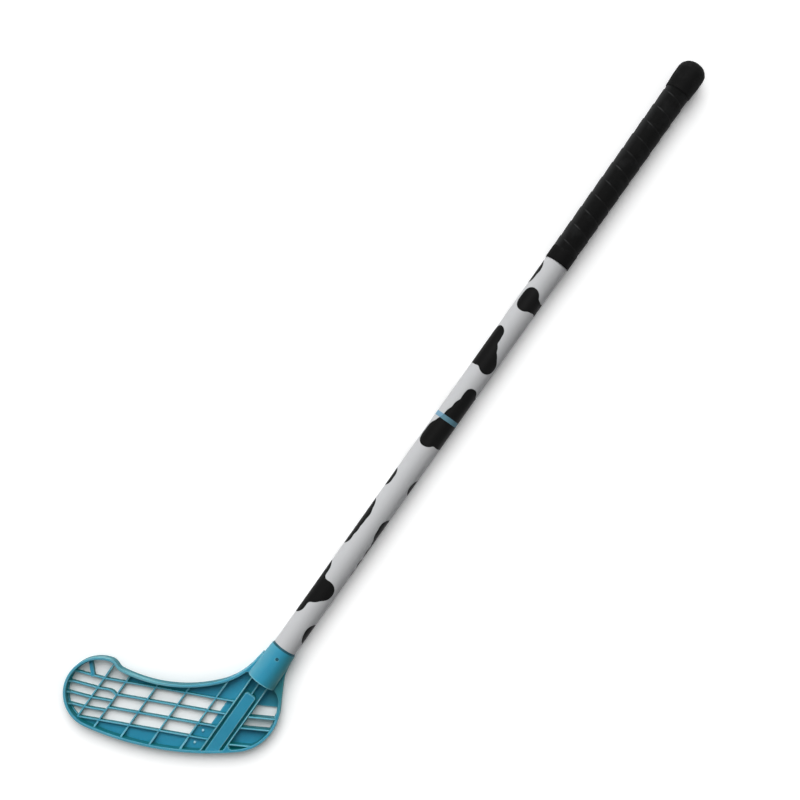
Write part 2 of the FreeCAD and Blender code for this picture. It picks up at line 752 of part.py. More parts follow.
def heel_root(drop):
    return Vector(-drop, -size("stem_wall_offset"), 0)


heel_roots = [heel_root(size("heel_rib_start") + size("heel_rib_pitch") * number)
              for number in range(HEEL_SLOTS + 1)]
for root in heel_roots[1:] + [heel_root(size("heel_low_rib_drop"))]:
    ribs.append(rib(root, root + TO_HEEL * far, size("heel_rib_height"), thin))

# Spine: thin rib in the stem pocket, from the neck to the stem bar
spine_start = Vector(below_neck + size("stem_wall"), 0, 0)
spine_end = Vector(-size("stem_start") - size("stem_round"), 0, 0)
ribs.append(rib(spine_start, spine_end, size("spine_height"), size("stem_wall")))
lattice = held("blade_lattice", ribs[0].multiFuse(ribs[1:]).common(rib_room))

# Windows: the plate is open between the ribs, apart from the webs at the top, the bottom and the stem
window_room = inset(outline, size("rim_thickness") + size("window_land"))
web_edge = wall_outer + size("stem_web")
main_window = polygon([lattice_point(web_edge, long_drops[0]), lattice_point(web_edge, long_drops[-1]),
                       plan(far, long_drops[-1]), plan(far, long_drops[0])])
closed_cell = polygon([lattice_point(0, long_drops[-2]), lattice_point(0, long_drops[-1]),
                       lattice_point(cross_places[0], long_drops[-1]),
                       lattice_point(cross_places[0], long_drops[-2])])
cell_corner = lattice_point(cross_places[0], long_drops[-2])
corner_window = polygon([cell_corner, cell_corner - TO_TIP * size("corner_window_run"),
                         cell_corner - Vector(size("corner_window_rise"), 0, 0)])
tip_window = polygon([lattice_point(cross_places[-1], long_drops[0]), plan(far, long_drops[0]),
                      plan(far, 0), lattice_point(cross_places[-1], 0)])
heel_windows = []
for root, following in zip(heel_roots, heel_roots[1:]):
    edge = Vector(0, -size("stem_wall") / 2 - size("window_land"), 0)
    heel_windows.append(polygon([root + edge, following + edge,
                                 following + TO_HEEL * far, root + TO_HEEL * far]))
open_faces = main_window.cut(closed_cell).fuse([corner_window, tip_window] + heel_windows)
open_faces = open_faces.common(window_room)
windows = held("blade_windows", open_faces.extrude(Vector(0, 0, size("plate_thickness"))))

# Stem bar: raised bar with rounded end and edges, from below the neck to the bottom rim
bar_face = strip(box.XMin, -size("stem_start"), -size("stem_width") / 2, size("stem_width") / 2)
bar_blank = rounded(bar_face, size("stem_round")).extrude(Vector(0, 0, size("stem_height")))
bar_edges = [bar_blank.Edges[number - 1] for number in edges_at(bar_blank, size("stem_height"))]
bar = held("blade_stem", bar_blank.makeFillet(size("rim_round"), bar_edges).common(rib_room))

# Ejector pads: low round domes, one on the closed cell beside the stem and one on the web below it
pads = []
dome_radius = (size("pad_diameter") ** 2 / 4 + size("pad_height") ** 2) / (2 * size("pad_height"))
for drop in (long_drops[-1] - size("pad_drop"), long_drops[-1] + size("pad_drop")):
    place = lattice_point(wall_outer + size("pad_inset"), drop)
    center = place + Vector(0, 0, size("plate_thickness") + size("pad_height") - dome_radius)
    ground = Part.makeBox(far, far, far, place - Vector(far / 2, far / 2, 0))
    pads.append(Part.makeSphere(dome_radius, center).common(ground))
ejector_pads = held("blade_pads", Part.makeCompound(pads))

# Neck: two cones along the shaft, flat where they meet the front face
neck_collar = frustum("neck_collar", -size("shoulder_start"), NECK_COLLAR_RADIUS, NECK_MOUTH_RADIUS,
                      "sizes.shoulder_start")
neck_root = frustum("neck_root", below_neck, NECK_ROOT_RADIUS, NECK_COLLAR_RADIUS,
                    "sizes.neck_length - sizes.shoulder_start")
front_room = add("Part::Box", "front_room")
bind(front_room, Length="sizes.neck_length", Width=f"2 * ({NECK_ROOT_RADIUS})", Height=NECK_ROOT_RADIUS)
bind(front_room, **{"Placement.Base.x": "-sizes.neck_length",
                    "Placement.Base.y": f"-({NECK_ROOT_RADIUS})",
                    "Placement.Base.z": f"-({NECK_ROOT_RADIUS})"})
neck = cut("blade_neck", fuse("neck_cones", [neck_collar, neck_root]), front_room)
socket = rod("neck_socket", -size("socket_depth"), SOCKET_RADIUS, "sizes.socket_depth + sizes.cut_overrun")
open_tray = cut("blade_open_tray", soft_tray, windows)
blade_solid = fuse("blade_solid", [open_tray, lattice, bar, ejector_pads, neck])
blade = cut("blade", blade_solid, fuse("blade_holes", [socket, screw_path("neck_screw_hole")]))
doc.recompute()

# Every object must have come out before anything is written
for item in doc.Objects:
    if "Invalid" in item.State or "Error" in item.State:
        raise RuntimeError(f"{item.Label} failed: {item.State}")

nodes = [blade, shaft_tube, print_film, neck_glue, neck_screw, butt_cap, grip_wrap, grip_finish_tape]
for node in nodes:
    shape = node.Shape
    if shape.isNull() or not shape.isValid() or len(shape.Solids) != 1:
        raise RuntimeError(f"{node.Label} is not one valid solid")

# The origin goes to the middle of the whole stick's box, on the ground
bounds = Part.makeCompound([node.Shape for node in nodes]).optimalBoundingBox(False, False)
shift = Vector(-(bounds.XMin + bounds.XMax) / 2, -(bounds.YMin + bounds.YMax) / 2, -bounds.ZMin)
for node in nodes:
    node.Placement.Base = node.Placement.Base + shift
doc.recompute()

os.makedirs("parts", exist_ok=True)
for node in nodes:
    node.Shape.exportStep(f"parts/{node.Label}.step")
    print(node.Label, "volume", round(node.Shape.Volume, 1))
print("stick", round(bounds.XLength, 2), "x", round(bounds.YLength, 2), "x", round(bounds.ZLength, 2))
print("neck mouth at", [round(value, 3) for value in shift + Vector(0, 0, axis_height)])
print("least gap between turns of the winding", round(winding_gap(), 3))
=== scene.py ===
import math

import bmesh
import bpy
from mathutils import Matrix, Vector


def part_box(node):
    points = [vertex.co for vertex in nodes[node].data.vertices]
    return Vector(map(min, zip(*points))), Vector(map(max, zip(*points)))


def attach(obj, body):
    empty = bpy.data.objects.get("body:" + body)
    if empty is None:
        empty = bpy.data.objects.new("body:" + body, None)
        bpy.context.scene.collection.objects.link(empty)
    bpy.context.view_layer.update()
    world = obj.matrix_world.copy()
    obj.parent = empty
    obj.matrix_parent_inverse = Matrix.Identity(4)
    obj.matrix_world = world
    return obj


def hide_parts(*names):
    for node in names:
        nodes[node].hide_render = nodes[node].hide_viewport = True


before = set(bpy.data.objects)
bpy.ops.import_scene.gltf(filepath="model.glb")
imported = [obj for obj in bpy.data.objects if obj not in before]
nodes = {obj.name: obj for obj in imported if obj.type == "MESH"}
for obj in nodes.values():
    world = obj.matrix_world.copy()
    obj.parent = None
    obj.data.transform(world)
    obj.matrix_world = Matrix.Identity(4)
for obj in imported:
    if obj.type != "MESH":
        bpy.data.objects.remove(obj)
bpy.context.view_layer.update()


# Shaft tube
# A straight tube of fibre composite, pulled through a die and ground to 25.3 mm.
# Film, neck and cap hide it, and it carries all of them.
MILLIMETRE = 0.001
tube_low, tube_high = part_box("shaft_tube")
AXIS_Y = (tube_low.y + tube_high.y) / 2
AXIS_Z = (tube_low.z + tube_high.z) / 2
TUBE_COLOUR = (0.02, 0.02, 0.022, 1.0)
FIBRE_COLOUR = (0.045, 0.045, 0.048, 1.0)
FIBRE_CELLS = (30.0, 2500.0, 2500.0)
FIBRE_RELIEF = 0.02 * MILLIMETRE


def put(tree, kind, inputs=None, **options):
    """Add a node, choose its options, and set or link its inputs."""
    added = tree.nodes.new(kind)
    for option, choice in options.items():
        setattr(added, option, choice)
    for socket, source in (inputs or {}).items():
        if isinstance(source, bpy.types.NodeSocket):
            tree.links.new(source, added.inputs[socket])
        else:
            added.inputs[socket].default_value = source
    return added


def new_finish(name):
    """Empty material with its surface shader."""
    finish = bpy.data.materials.new(name)
    finish.use_nodes = True
    tree = finish.node_tree
    tree.nodes.clear()
    shader = put(tree, "ShaderNodeBsdfPrincipled")
    put(tree, "ShaderNodeOutputMaterial", {"Surface": shader.outputs["BSDF"]})
    return finish, tree, shader


def join(tree, source, target):
    tree.links.new(source, target)


def reckon(tree, operation, first, second=0.0, third=0.0):
    """One step of arithmetic on values."""
    step = put(tree, "ShaderNodeMath", {0: first, 1: second, 2: third}, operation=operation)
    return step.outputs["Value"]


def blend_colours(tree, share, first, second):
    mixed = put(tree, "ShaderNodeMix", {"Factor": share, 6: first, 7: second}, data_type="RGBA")
    return mixed.outputs[2]


def spread(tree, source, low, high, from_low=0.0, from_high=1.0):
    """Stretch a value from one range to another and hold it there."""
    ranged = put(tree, "ShaderNodeMapRange", {"Value": source, "From Min": from_low, "From Max": from_high,
                                              "To Min": low, "To Max": high})
    return ranged.outputs["Result"]


def dress(piece, finish):
    piece.data.materials.clear()
    piece.data.materials.append(finish)


def new_group(name, inputs, outputs):
    """Node group with named values going in and values coming out."""
    group = bpy.data.node_groups.new(name, "ShaderNodeTree")
    for label, start in inputs.items():
        socket = group.interface.new_socket(label, in_out="INPUT", socket_type="NodeSocketFloat")
        socket.default_value = start
    for label in outputs:
        group.interface.new_socket(label, in_out="OUTPUT", socket_type="NodeSocketFloat")
    entry = group.nodes.new("NodeGroupInput")
    way_out = group.nodes.new("NodeGroupOutput")
    return group, entry, way_out


def use_group(tree, group, **values):
    """Place a group in a material with its own values."""
    placed = put(tree, "ShaderNodeGroup", node_tree=group)
    for label, number in values.items():
        placed.inputs[label.replace("_", " ")].default_value = number
    return placed.outputs


# Grain: the fine texture of a moulded or rolled surface, in cells per metre
grain, entry, way_out = new_group("surface_grain", {"Cells": 900.0, "Mottle Cells": 40.0},
                                  ["Height", "Mottle"])
place = put(grain, "ShaderNodeTexCoord").outputs["Object"]
fine = put(grain, "ShaderNodeTexNoise", {"Vector": place, "Scale": entry.outputs["Cells"], "Detail": 3.0,
                                         "Roughness": 0.6})
broad = put(grain, "ShaderNodeTexNoise", {"Vector": place, "Scale": entry.outputs["Mottle Cells"],
                                          "Detail": 4.0, "Roughness": 0.55})
join(grain, fine.outputs["Fac"], way_out.inputs["Height"])
join(grain, broad.outputs["Fac"], way_out.inputs["Mottle"])

tube_finish, tree, shader = new_finish("tube_composite")
place = put(tree, "ShaderNodeTexCoord").outputs["Object"]
drawn = put(tree, "ShaderNodeMapping", {"Vector": place, "Scale": FIBRE_CELLS})
fibres = put(tree, "ShaderNodeTexNoise", {"Vector": drawn.outputs["Vector"], "Scale": 1.0, "Detail": 2.0})
composite = blend_colours(tree, fibres.outputs["Fac"], TUBE_COLOUR, FIBRE_COLOUR)
join(tree, composite, shader.inputs["Base Color"])
join(tree, spread(tree, fibres.outputs["Fac"], 0.4, 0.6), shader.inputs["Roughness"])
ridges = put(tree, "ShaderNodeBump", {"Height": fibres.outputs["Fac"], "Distance": FIBRE_RELIEF})
join(tree, ridges.outputs["Normal"], shader.inputs["Normal"])
dress(nodes["shaft_tube"], tube_finish)


# Printed film
# A white plastic sheet printed with black animal spots and one blue band, rolled round the tube and closed
# by a lap along the underside, so its pattern does not meet there.
film_low, film_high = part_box("print_film")
FILM_RADIUS = (film_high.y - film_low.y) / 2
FILM_WALL = 0.3 * MILLIMETRE
LAP_RISE = 0.09 * MILLIMETRE
LAP_SHARE = 0.09
LAP_SLIT = 0.02
FILM_SIDES = 160
FILM_STATIONS = 90
FILM_FROM_MOUTH = 1.35 * MILLIMETRE
mouth_x = film_low.x - FILM_FROM_MOUTH
WHITE = (0.585, 0.59, 0.6, 1.0)
SOILED = (0.46, 0.46, 0.465, 1.0)
BLACK = (0.003, 0.003, 0.003, 1.0)
BAND_BLUE = (0.19, 0.36, 0.50, 1.0)
BAND_ON_BLACK = (0.12, 0.25, 0.32, 1.0)
BAND_MIDDLE = 296.0 * MILLIMETRE
BAND_WIDTH = 5.2 * MILLIMETRE
BAND_REACH = math.radians(118)

# Spots as rounds that run together: millimetres from the neck's mouth, millimetres round the shaft from its
# upper side with minus to the tip's side, and radius
SPOTS = {
    "right_crescent": [(25.5, 19, 9.5), (31, 17, 9.4)],
    "left_saddle": [(51, -19, 10.5), (62, -17, 10), (69, -8, 10), (76.5, -1.5, 11), (79, -14, 10),
                    (90, -20, 9), (97, -20, 9)],
    "left_middle": [(137, -20, 9), (148, -20, 10), (158, -20, 10.5), (168, -19, 10.5), (177, -20, 9)],
    "right_middle": [(107, 24, 8.5), (120, 23, 8.5), (134, 22, 8), (146, 21, 8), (156, 19, 10),
                     (165, 17.5, 9.5)],
    "left_sliver": [(210, -20, 8), (217, -20, 8)],
    "right_sliver": [(214, 19, 8), (218, 19, 7.5)],
    "banded": [(270, -5, 11), (278, -4, 11.5), (276, 10, 12), (276, 23, 12), (288, 3, 12.5), (292, 22, 13),
               (301, 6, 12), (308, 21, 12), (313, 7, 10.5), (325, 7.5, 8.7), (331, 6, 6.5), (321, 20, 10)],
    "left_drop": [(366, 3, 9.8), (373, -2, 9.5), (371, -12, 11.5), (370, -22, 11), (382, -8, 9.5),
                  (390, -22, 11), (394, -12, 9.5), (401, -11, 7.8)],
    "round": [(442.5, -3.5, 9.8), (450.3, -3.5, 9.8), (444, 7, 7.8), (443.3, 18, 7.8)],
    "upper_left": [(470, -22, 9), (479, -21, 9.3), (484, -22, 7.5)],
    "back_low": [(62, 34, 9), (74, 36, 10), (86, 33, 7)],
    "back_heel": [(112, -37, 8), (120, -34, 7)],
    "back_middle": [(184, 37, 9), (196, 36, 10)],
    "back_left": [(232, -36, 9), (246, -33, 11), (258, -36, 8)],
    "back_high": [(300, -34, 10), (314, -33, 12), (330, -35, 9)],
    "back_right": [(352, 34, 9), (366, 31, 12), (381, 33, 9), (392, 35, 6)],
    "back_upper": [(424, -36, 8), (436, -33, 10), (448, -35, 7)],
    "back_grip": [(470, 33, 10), (484, 30, 10), (498, 33, 8)],
}
RUN_TOGETHER = 5.0
INK_EDGE = 0.12
WAVER = 0.5
WAVER_CELLS = 0.055
RIPPLE = 0.006 * MILLIMETRE


def lay_grid(name, rows, closed_round=True, closed_along=True):
    """Mesh from rows of points, with faces between neighbours, round each row and from last row to first."""
    mesh = bpy.data.meshes.new(name)
    shape = bmesh.new()
    verts = [[shape.verts.new(point) for point in row] for row in rows]
    count = len(rows[0])
    pairs = list(zip(verts, verts[1:]))
    if closed_along:
        pairs.append((verts[-1], verts[0]))
    for row, following in pairs:
        for number in range(count if closed_round else count - 1):
            after = (number + 1) % count
            shape.faces.new((row[number], row[after], following[after], following[number]))
    bmesh.ops.recalc_face_normals(shape, faces=shape.faces)
    shape.to_mesh(mesh)
    shape.free()
    mesh.polygons.foreach_set("use_smooth", [True] * len(mesh.polygons))
    piece = bpy.data.objects.new(name, mesh)
    bpy.context.scene.collection.objects.link(piece)
    return piece


def soft_shade(piece, degrees):
    """Keep edges sharper than an angle crisp and shade the rest smooth."""
    piece.data.set_sharp_from_angle(angle=math.radians(degrees))


def on_shaft(along, radius, angle):
    """Point at a distance along X, on a radius, at an angle from the top towards minus Y."""
    return Vector((along, AXIS_Y - radius * math.sin(angle), AXIS_Z + radius * math.cos(angle)))


def lap(share):
    """Height of the film's lap over the share of a turn from its free edge."""
    if share > LAP_SHARE:
        return 0.0
    return LAP_RISE * (1 - (share / LAP_SHARE) ** 2)


sides = [side / FILM_SIDES for side in range(FILM_SIDES)] + [1 - LAP_SLIT / FILM_SIDES]
outer_rows = []
for station in range(FILM_STATIONS + 1):
    along = film_low.x + (film_high.x - film_low.x) * station / FILM_STATIONS
    outer_rows.append([on_shaft(along, FILM_RADIUS + (lap(side) if side < 1 - 1 / FILM_SIDES else 0.0),
                                math.pi + 2 * math.pi * side) for side in sides])
inner_rows = []
for along in (film_high.x, film_low.x):
    inner_rows.append([on_shaft(along, FILM_RADIUS - FILM_WALL, math.pi + 2 * math.pi * side)
                       for side in sides])
film = lay_grid("printed_film", outer_rows + inner_rows)
soft_shade(film, 40)

film_finish, tree, shader = new_finish("printed_film")
place = put(tree, "ShaderNodeTexCoord").outputs["Object"]
parts = put(tree, "ShaderNodeSeparateXYZ", {"Vector": place}).outputs
along = reckon(tree, "SUBTRACT", parts["X"], mouth_x)
sideways = reckon(tree, "SUBTRACT", AXIS_Y, parts["Y"])
upward = reckon(tree, "SUBTRACT", parts["Z"], AXIS_Z)
turned = reckon(tree, "ARCTAN2", sideways, upward)
along_mm = reckon(tree, "DIVIDE", along, MILLIMETRE)
round_mm = reckon(tree, "MULTIPLY", turned, FILM_RADIUS / MILLIMETRE)
sheet = put(tree, "ShaderNodeCombineXYZ", {"X": along_mm, "Y": round_mm}).outputs["Vector"]
hand = put(tree, "ShaderNodeTexNoise", {"Vector": sheet, "Scale": WAVER_CELLS, "Detail": 1.0})
shaken = put(tree, "ShaderNodeVectorMath", {0: hand.outputs["Color"], 1: (0.5, 0.5, 0.5)},
             operation="SUBTRACT")
shaken = put(tree, "ShaderNodeVectorMath", {0: shaken.outputs["Vector"], "Scale": WAVER * 2},
             operation="SCALE")
drawn = put(tree, "ShaderNodeVectorMath", {0: sheet, 1: shaken.outputs["Vector"]}, operation="ADD")
flat = put(tree, "ShaderNodeVectorMath", {0: drawn.outputs["Vector"], 1: (1.0, 1.0, 0.0)},
           operation="MULTIPLY")
spot_edge = None
for rounds in SPOTS.values():
    spot = None
    for middle_along, middle_round, radius in rounds:
        away = put(tree, "ShaderNodeVectorMath",
                   {0: flat.outputs["Vector"], 1: (middle_along, middle_round, 0.0)}, operation="DISTANCE")
        edge = reckon(tree, "SUBTRACT", away.outputs["Value"], radius)
        spot = edge if spot is None else reckon(tree, "SMOOTH_MIN", spot, edge, RUN_TOGETHER)
    spot_edge = spot if spot_edge is None else reckon(tree, "MINIMUM", spot_edge, spot)
inked = spread(tree, spot_edge, 1.0, 0.0, -INK_EDGE, INK_EDGE)
band_across = reckon(tree, "ABSOLUTE", reckon(tree, "SUBTRACT", along, BAND_MIDDLE))
band_side = reckon(tree, "ABSOLUTE", turned)
in_band = reckon(tree, "MULTIPLY", reckon(tree, "LESS_THAN", band_across, BAND_WIDTH / 2),
                 reckon(tree, "LESS_THAN", band_side, BAND_REACH))
rolled = use_group(tree, grain, Cells=700.0, Mottle_Cells=22.0)
paper = blend_colours(tree, spread(tree, rolled["Mottle"], 0.0, 0.10, 0.35, 0.75), WHITE, SOILED)
printed = blend_colours(tree, inked, paper, BLACK)
band = blend_colours(tree, inked, BAND_BLUE, BAND_ON_BLACK)
join(tree, blend_colours(tree, in_band, printed, band), shader.inputs["Base Color"])
join(tree, spread(tree, rolled["Mottle"], 0.42, 0.54, 0.3, 0.7), shader.inputs["Roughness"])
ripple = put(tree, "ShaderNodeBump", {"Height": rolled["Height"], "Distance": RIPPLE, "Strength": 0.6})
join(tree, ripple.outputs["Normal"], shader.inputs["Normal"])
shader.inputs["Specular IOR Level"].default_value = 0.08
dress(film, film_finish)
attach(film, "root")
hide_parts("print_film")


# Blade
# One moulding of satin polyethylene: front plate, rim, lattice of ribs, stem bar and socket for the tube.
# Its crests carry a painted highlight, its hollows and standing sides painted shade and a faint painted glow,
# and its outer rim and the lit side of its neck painted light.
blade_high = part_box("blade")[1]
BLADE_COLOUR = (0.034, 0.31, 0.47, 1.0)
BLADE_DEEP = (0.026, 0.275, 0.42, 1.0)
# Colours for painted shade, painted hollow shade, painted crest highlight, painted light and a painted glow
# follow
BLADE_PAINTED_SHADE = (0.03, 0.21, 0.215, 1.0)
BLADE_HOLLOW_SHADE = (0.004, 0.10, 0.095, 1.0)
BLADE_CREST_HIGHLIGHT = (0.26, 0.60, 0.68, 1.0)
BLADE_PAINTED_LIGHT = (0.20, 0.47, 0.52, 1.0)
PAINTED_HOLLOW_GLOW = (0.0, 0.035, 0.04, 1.0)
BLADE_CENTRE = (-0.40, 0.04, 0.0)
PAD_PLACES = [(-0.4031, -0.0448), (-0.4183, -0.0450)]
# Colour of the painted glints on the pads
PAD_PAINTED_GLINT = (0.42, 0.66, 0.72, 1.0)
HOLLOW_REACH = 11.0 * MILLIMETRE
CREST_REACH = 1.7 * MILLIMETRE
PEBBLE = 0.02 * MILLIMETRE

# Where one look passes into the next: along the shaft, across it, in height and off a pad's middle
NECK_FOOT = (-0.35, -0.33)
NECK_HIGHLIGHT_ENDS = (-0.345, -0.325)
SHOULDER_ALONG = (-0.35, -0.32)
SHOULDER_ACROSS = (AXIS_Y - 0.018, AXIS_Y - 0.012)
NECK_MOUTH = (blade_high.x - 0.012, blade_high.x - 0.008)
CREST_HEIGHT = (0.0075, 0.010)
RIM_HEIGHT = (0.006, 0.009)
PAD_RADIUS = (0.0004, 0.0017)


def all_of(tree, first, *others):
    """Share of a surface where several shares hold together."""
    for other in others:
        first = reckon(tree, "MULTIPLY", first, other)
    return first


blade_finish, tree, shader = new_finish("blade_plastic")
moulded = use_group(tree, grain, Cells=1500.0, Mottle_Cells=28.0)
spot = put(tree, "ShaderNodeNewGeometry").outputs
stand = put(tree, "ShaderNodeSeparateXYZ", {"Vector": spot["Position"]}).outputs
facing = put(tree, "ShaderNodeSeparateXYZ", {"Vector": spot["Normal"]}).outputs
below_neck = spread(tree, stand["X"], 1.0, 0.0, *NECK_FOOT)
body = blend_colours(tree, spread(tree, moulded["Mottle"], 0.0, 1.0, 0.3, 0.7), BLADE_DEEP, BLADE_COLOUR)
# Sides turned away from the light get a greener painted shade
body = blend_colours(tree, spread(tree, facing["Y"], 0.8, 0.0, -0.95, -0.1), body, BLADE_PAINTED_SHADE)

# Painted shade in the hollows between the ribs and on the standing sides of ribs and rim
open_air = put(tree, "ShaderNodeAmbientOcclusion", {"Distance": HOLLOW_REACH}, samples=6).outputs["AO"]
raised = reckon(tree, "MULTIPLY_ADD", facing["Z"], 0.35, open_air)
painted_side_shade = all_of(tree, spread(tree, facing["Z"], 0.75, 0.0, 0.15, 0.55), below_neck)
painted_hollow_shade = reckon(tree, "MAXIMUM", spread(tree, raised, 1.0, 0.0, 0.40, 0.77), painted_side_shade)
body = blend_colours(tree, painted_hollow_shade, body, BLADE_HOLLOW_SHADE)

# Crests of ribs and rim paler in patches: a painted highlight
within = put(tree, "ShaderNodeAmbientOcclusion", {"Distance": CREST_REACH}, inside=True, samples=6)
painted_crest_highlight = all_of(tree, spread(tree, within.outputs["AO"], 1.0, 0.0, 0.5, 0.92),
                spread(tree, facing["Z"], 0.0, 1.0, 0.1, 0.5),
                spread(tree, moulded["Mottle"], 0.55, 1.0, 0.3, 0.6),
                spread(tree, stand["X"], 1.0, 0.0, *NECK_MOUTH),
                spread(tree, stand["Z"], 0.8, 1.0, *CREST_HEIGHT))
body = blend_colours(tree, painted_crest_highlight, body, BLADE_CREST_HIGHLIGHT)

# Painted light on the outer side of the rim, and a painted highlight on the lit side of the neck
from_centre = put(tree, "ShaderNodeVectorMath", {0: spot["Position"], 1: BLADE_CENTRE}, operation="SUBTRACT")
from_centre = put(tree, "ShaderNodeVectorMath", {0: from_centre.outputs["Vector"]}, operation="NORMALIZE")
outward = put(tree, "ShaderNodeVectorMath", {0: spot["Normal"], 1: from_centre.outputs["Vector"]},
              operation="DOT_PRODUCT").outputs["Value"]
scuffs_and_painted_light = all_of(tree, spread(tree, outward, 0.0, 0.75, 0.1, 0.5),
                 spread(tree, stand["Z"], 0.0, 1.0, *RIM_HEIGHT),
                 below_neck,
                 spread(tree, facing["Y"], 1.0, 0.25, 0.45, 0.9))
body = blend_colours(tree, scuffs_and_painted_light, body, BLADE_PAINTED_LIGHT)
neck_painted_highlight = all_of(tree, spread(tree, facing["Y"], 0.0, 0.35, 0.25, 0.9),
                  spread(tree, stand["X"], 0.0, 1.0, *NECK_HIGHLIGHT_ENDS))
body = blend_colours(tree, neck_painted_highlight, body, BLADE_PAINTED_LIGHT)

# Painted glints on the ejector pads, and painted shadow on the shoulder away from the tip
plan_spot = put(tree, "ShaderNodeCombineXYZ", {"X": stand["X"], "Y": stand["Y"]}).outputs["Vector"]
for pad in PAD_PLACES:
    away = put(tree, "ShaderNodeVectorMath", {0: plan_spot, 1: (pad[0], pad[1], 0.0)}, operation="DISTANCE")
    painted_pad_glint = spread(tree, away.outputs["Value"], 1.0, 0.0, *PAD_RADIUS)
    body = blend_colours(tree, painted_pad_glint, body, PAD_PAINTED_GLINT)
# Painted shadow of the neck on the shoulder
painted_shoulder_shade = all_of(tree, spread(tree, stand["Y"], 0.8, 0.0, *SHOULDER_ACROSS),
                  spread(tree, stand["X"], 0.0, 1.0, *SHOULDER_ALONG))
join(tree, blend_colours(tree, painted_shoulder_shade, body, BLADE_PAINTED_SHADE), shader.inputs["Base Color"])
# The hollows give off a faint painted glow, standing in for light passing through the plastic
painted_hollow_glow = blend_colours(tree, painted_hollow_shade, (0.0, 0.0, 0.0, 1.0), PAINTED_HOLLOW_GLOW)
join(tree, painted_hollow_glow, shader.inputs["Emission Color"])
shader.inputs["Emission Strength"].default_value = 1.0
join(tree, spread(tree, moulded["Mottle"], 0.45, 0.58, 0.3, 0.7), shader.inputs["Roughness"])
pebble = put(tree, "ShaderNodeBump", {"Height": moulded["Height"], "Distance": PEBBLE, "Strength": 0.5})
join(tree, pebble.outputs["Normal"], shader.inputs["Normal"])
shader.inputs["Specular IOR Level"].default_value = 0.25
shader.inputs["Subsurface Weight"].default_value = 0.35
shader.inputs["Subsurface Radius"].default_value = (0.2, 1.0, 0.9)
shader.inputs["Subsurface Scale"].default_value = 3.0 * MILLIMETRE
dress(nodes["blade"], blade_finish)


# Glue at the neck
# Hot-melt glue fills the socket round the tube, and a bead of it came out at the mouth, up to the film.
glue_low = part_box("neck_glue")[0]
GLUE_INNER = 12.68 * MILLIMETRE
GLUE_OUTER = 12.95 * MILLIMETRE
GLUE_SIDES = 96
GLUE_DARK = (0.012, 0.07, 0.095, 1.0)
GLUE_PALE = (0.025, 0.115, 0.15, 1.0)
BEAD_PROFILE = [(0.0, 13.85), (0.3, 13.72), (0.8, 13.45), (1.4, 13.22), (2.0, 13.08), (2.4, 13.03)]
glue_profile = [(glue_low.x, GLUE_INNER), (glue_low.x, GLUE_OUTER), (mouth_x, GLUE_OUTER)]
glue_profile += [(mouth_x + along * MILLIMETRE, radius * MILLIMETRE) for along, radius in BEAD_PROFILE]
glue_profile += [(glue_profile[-1][0], FILM_RADIUS - FILM_WALL / 2), (mouth_x, GLUE_INNER)]
glue_rows = [[on_shaft(along, radius, 2 * math.pi * side / GLUE_SIDES) for side in range(GLUE_SIDES)]
             for along, radius in glue_profile]
glue = lay_grid("glue_bead", glue_rows)
soft_shade(glue, 50)

glue_finish, tree, shader = new_finish("glue")
melted = use_group(tree, grain, Cells=600.0, Mottle_Cells=200.0)
join(tree, blend_colours(tree, melted["Mottle"], GLUE_DARK, GLUE_PALE), shader.inputs["Base Color"])
join(tree, spread(tree, melted["Mottle"], 0.35, 0.55), shader.inputs["Roughness"])
shader.inputs["Specular IOR Level"].default_value = 0.1
dress(glue, glue_finish)
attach(glue, "root")
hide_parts("neck_glue")


# Neck screw
# A small countersunk steel screw with a cross recess, dark blue zinc, driven through neck and tube.
ZINC_DARK = (0.008, 0.075, 0.11, 1.0)
ZINC_PALE = (0.016, 0.11, 0.15, 1.0)
screw_finish, tree, shader = new_finish("screw_steel")
plated = use_group(tree, grain, Cells=2500.0, Mottle_Cells=500.0)
join(tree, blend_colours(tree, plated["Mottle"], ZINC_DARK, ZINC_PALE), shader.inputs["Base Color"])
join(tree, spread(tree, plated["Height"], 0.3, 0.55), shader.inputs["Roughness"])
shader.inputs["Metallic"].default_value = 0.5
dress(nodes["neck_screw"], screw_finish)


# Grip band
# A flat foamed band, thicker along one edge, wound from the butt down to the blade's side with each turn's
# thick edge over the next turn's thin one. The thick edges are paler, rubbed by hands and with a painted
# highlight on the lit side, and the lit side of the band is painted lighter.
wrap_low, wrap_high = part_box("grip_wrap")
tape_low, tape_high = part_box("grip_finish_tape")
BAND_PITCH = 18.8 * MILLIMETRE
BAND_START = math.radians(140)
BAND_OVERHANG = 0.9 * MILLIMETRE
BAND_TIP = 2.0 * MILLIMETRE
BAND_AT_CAP = 0.28 * MILLIMETRE
BAND_INNER = FILM_RADIUS + 0.05 * MILLIMETRE
STEPS_PER_TURN = 96
GRIP_BLACK = (0.004, 0.004, 0.004, 1.0)
# Pale for rub, dust, the painted highlight on the lips and the painted light on the lit side
GRIP_WORN_AND_LIT = (0.045, 0.046, 0.047, 1.0)
LIP_WAVER = 0.25 * MILLIMETRE
LIP_RUB_AND_HIGHLIGHT = (0.015, 0.065)
UNDER_TAPE = 0.76
PORE_CELLS = 1300.0
PORE_DEPTH = 0.06 * MILLIMETRE

# Angles from the top of the grip, minus to the tip's side, for the lips' rub and painted highlight and the
# lit side's painted light
RUB_AND_HIGHLIGHT_RISES = (-0.9, -0.55)
RUB_AND_HIGHLIGHT_FALLS = (-0.35, 0.0)
LIT_SIDE_FALLS = (-1.45, -0.5)

